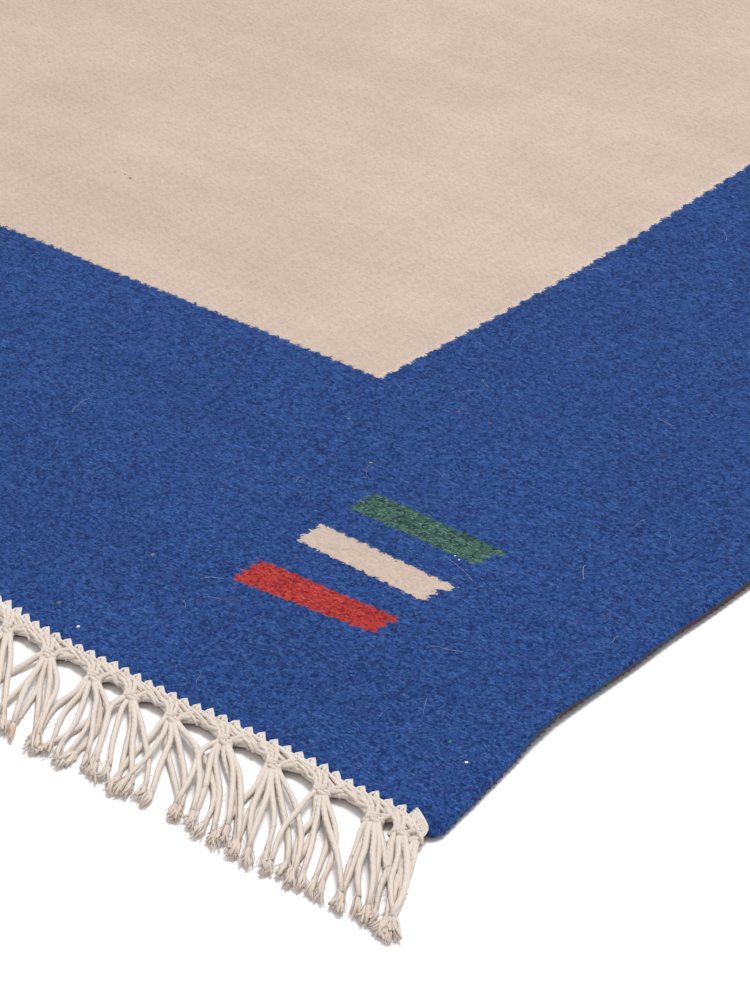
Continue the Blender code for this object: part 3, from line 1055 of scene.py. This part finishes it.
def addFray(dice, tips, strand, end):
    # the last stretch opens into a tuft with a brush of plies and fibres
    before, last = strand[-2][0], strand[-1][0]
    full = fringe["tuftRadius"] * dice.uniform(0.8, 1.2)
    tuft = [(before.lerp(last, 0.75), fringe["radius"] * 0.9)]
    tuft.append((last, fringe["radius"] * 1.2))
    for share, swell in fringe["tuft"]:
        place = last.lerp(end, share)
        place.z = last.z + (full * 0.85 - last.z) * min(1.0, 2 * share)
        tuft.append((place, full * swell))
    tips.append(tuft)
    curl = fringe["curl"]
    for _ in range(fringe["plies"]):
        ply = [(before.lerp(last, 0.8), fringe["plyRadius"])]
        for share in (0.1, 0.6, 1.0):
            spot = last.lerp(end, share)
            spot += Vector((dice.gauss(0, curl), dice.gauss(0, 0.6 * curl), 0))
            spot.z = dice.uniform(0.0006, 0.0024)
            ply.append((spot, fringe["plyRadius"] * dice.uniform(0.7, 1.2)))
        tips.append(ply)
    for _ in range(fringe["fibres"]):
        start = before.lerp(last, dice.uniform(0.6, 1.0))
        start.z += 0.0003
        bent = last.lerp(end, dice.uniform(0.2, 0.8))
        bent += Vector((dice.gauss(0, curl), 0, dice.uniform(0.0002, 0.0012)))
        tip = end + Vector((dice.gauss(0, fringe["spread"]), dice.uniform(-0.0016, 0.0024), 0))
        tip.z = dice.uniform(0.0005, 0.0020)
        tips.append([(start, fringe["fibreRadius"]), (bent, fringe["fibreRadius"]), (tip, 0.0001)])


headingCore = makeHeadingCore()
headingPlait, headingTeeth = makePlait()
tasselKnots = makeKnots()
fringeYarns, frayedTips = makeFringe()
nearPieces = [headingCore, headingPlait, headingTeeth, tasselKnots, fringeYarns, frayedTips]
farPieces = [turnedCopy(piece, piece.name.replace("Near", "Far")) for piece in nearPieces]
for piece in nearPieces + farPieces:
    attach(piece, "root")
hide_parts("fringe_near")
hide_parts("fringe_far")
print("headings and fringes made")

strays = {
    "count": 420,
    "radius": 0.000035,
    "length": (0.002, 0.010),
    "rise": 0.0010,
    "slack": 0.07,  # share of a hair's length that it bends aside
    "across": 0.59,  # half the width they are spread over
    "borderOnly": (0.44, 0.6),  # half of them lie here
}


def hairAlong(start, end, dice, radius):
    # one loose hair that lies on the cloth in a slack curve
    strand = []
    for part in range(5):
        spot = start.lerp(end, part / 4)
        rise = (0.0, 0.7, 1.0, 0.6, 0.1)[part] * strays["rise"] * dice.uniform(0.3, 1.0)
        slack = strays["slack"] * (end - start).length
        bend = Vector((dice.gauss(0, slack), dice.gauss(0, slack), rise))
        strand.append((spot + bend, radius))
    return strand


def makeStrays():
    # single light hairs that stand out of the wool
    dice = random.Random(17)
    strands = []
    for _ in range(strays["count"]):
        x = dice.uniform(-strays["across"], strays["across"])
        along = dice.uniform(0.01, rug["length"] - 0.01)
        if dice.random() < 0.5:
            x = math.copysign(dice.uniform(*strays["borderOnly"]), x)
        angle = dice.uniform(0, 2 * math.pi)
        length = dice.uniform(*strays["length"])
        start = clothPlace(x, along, rug["thick"])
        end = start + Vector((math.cos(angle), math.sin(angle), 0)) * length
        strands.append(hairAlong(start, end, dice, strays["radius"]))
    return spinYarns("strayHairs", strands, hairMaterial, 4, 2)


# Small foreign bits at the seen corner: place from it in millimetres, then size.
neps = {
    "white": [(-2.4, 26.1, 0.9), (-140.0, 6.4, 0.9), (-78.3, 105.2, 0.5), (-75.9, 104.2, 0.5)],
    "leaf": [(-135.6, 130.6, 0.9)],
    "brown": [(-346.3, 230.0, 0.9), (-350.0, 231.0, 0.5), (-354.5, 230.2, 0.6), (-90.3, 91.8, 0.8)],
}

# Threads and longer hairs seen there: both ends from the corner and the radius, in millimetres.
seenHairs = {
    "white": [(-44.3, 125.6, -38.6, 119.2, 0.045), (-80.0, 103.5, -64.0, 98.5, 0.025)],
    "leaf": [(-135.6, 130.6, -130.6, 122.8, 0.04)],
    "red": [
        (-118.4, 42.2, -111.7, 46.1, 0.07),
        (-16.5, 107.0, -15.5, 109.0, 0.08),
        (11.0, 57.5, 12.0, 56.0, 0.08),
    ],
}


def fromCorner(x, along):
    return clothPlace(rug["width"] / 2 + x / 1000, along / 1000, rug["thick"])


def makeNeps(colour):
    dice = random.Random(23)
    strands = []
    for x, along, size in neps.get(colour, []):
        middle = fromCorner(x, along)
        for _ in range(6):
            angle = dice.uniform(0, math.pi)
            reach = Vector((math.cos(angle), math.sin(angle), 0)) * 0.0006 * size
            curl = Vector((dice.gauss(0, 0.0003), dice.gauss(0, 0.0003), 0.0003)) * size
            thick = 0.00018 * size
            strands.append([(middle - reach, thick), (middle + curl, thick), (middle + reach, thick)])
    for startX, startY, endX, endY, radius in seenHairs.get(colour, []):
        start = fromCorner(startX, startY)
        end = fromCorner(endX, endY)
        strands.append(hairAlong(start, end, dice, radius / 1000))
    return spinYarns(colour + "Neps", strands, nepMaterials[colour], 4, 3)


loose = [makeStrays()] + [makeNeps(colour) for colour in nepMaterials]
for piece in loose:
    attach(piece, "root")
print("hairs and neps laid")

# Camera at the photograph's angle to the corner.
view = {
    "place": (1.1091, -1.4471, 0.5538),
    "heading": 43.53,  # degrees from +Y towards -X
    "down": 31.08,
    "roll": -2.81,
    "lens": 123.23,
}


def makeCamera():
    data = bpy.data.cameras.new("camera")
    data.sensor_width = 36
    data.lens = view["lens"]
    data.clip_start = 0.01
    camera = bpy.data.objects.new("camera", data)
    aim = Matrix.Rotation(math.radians(view["heading"]), 4, "Z")
    aim = aim @ Matrix.Rotation(math.radians(90 - view["down"]), 4, "X")
    aim = aim @ Matrix.Rotation(math.radians(view["roll"]), 4, "Z")
    camera.matrix_world = Matrix.Translation(view["place"]) @ aim
    bpy.context.scene.collection.objects.link(camera)
    bpy.context.scene.camera = camera


studio = {
    "floor": (0.97, 0.96, 0.96, 1),
    "skyStrength": 0.70,
    "keyPlace": (0.80, -0.30, 2.20),
    "keySize": 0.9,
    "keyPower": 39,
    "aimedAt": (0.45, -0.70, 0.0),
}


def makeStudio():
    bm = bmesh.new()
    bmesh.ops.create_grid(bm, x_segments=1, y_segments=1, size=6)
    bmesh.ops.translate(bm, verts=bm.verts, vec=(0, 0, -0.0002))
    mesh = bpy.data.meshes.new("floor")
    bm.to_mesh(mesh)
    bm.free()
    material = bpy.data.materials.new("paleFloor")
    material.use_nodes = True
    shader = material.node_tree.nodes["Principled BSDF"]
    shader.inputs["Base Color"].default_value = studio["floor"]
    shader.inputs["Roughness"].default_value = 0.9
    makeObject("floor", mesh, [material])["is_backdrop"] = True
    world = bpy.data.worlds.new("studio")
    world.use_nodes = True
    world.node_tree.nodes["Background"].inputs["Color"].default_value = (1, 1, 1, 1)
    world.node_tree.nodes["Background"].inputs["Strength"].default_value = studio["skyStrength"]
    bpy.context.scene.world = world
    lamp = bpy.data.lights.new("key", "AREA")
    lamp.size = studio["keySize"]
    lamp.energy = studio["keyPower"]
    key = bpy.data.objects.new("key", lamp)
    key.location = studio["keyPlace"]
    key.rotation_euler = (Vector(studio["aimedAt"]) - key.location).to_track_quat("-Z", "Y").to_euler()
    bpy.context.scene.collection.objects.link(key)
    bpy.context.scene.view_settings.view_transform = "Standard"


makeCamera()
makeStudio()
print("studio set")

triangles = sum(len(face.vertices) - 2 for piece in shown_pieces() for face in piece.data.polygons)
print("triangles in all", triangles)
bpy.context.view_layer.update()
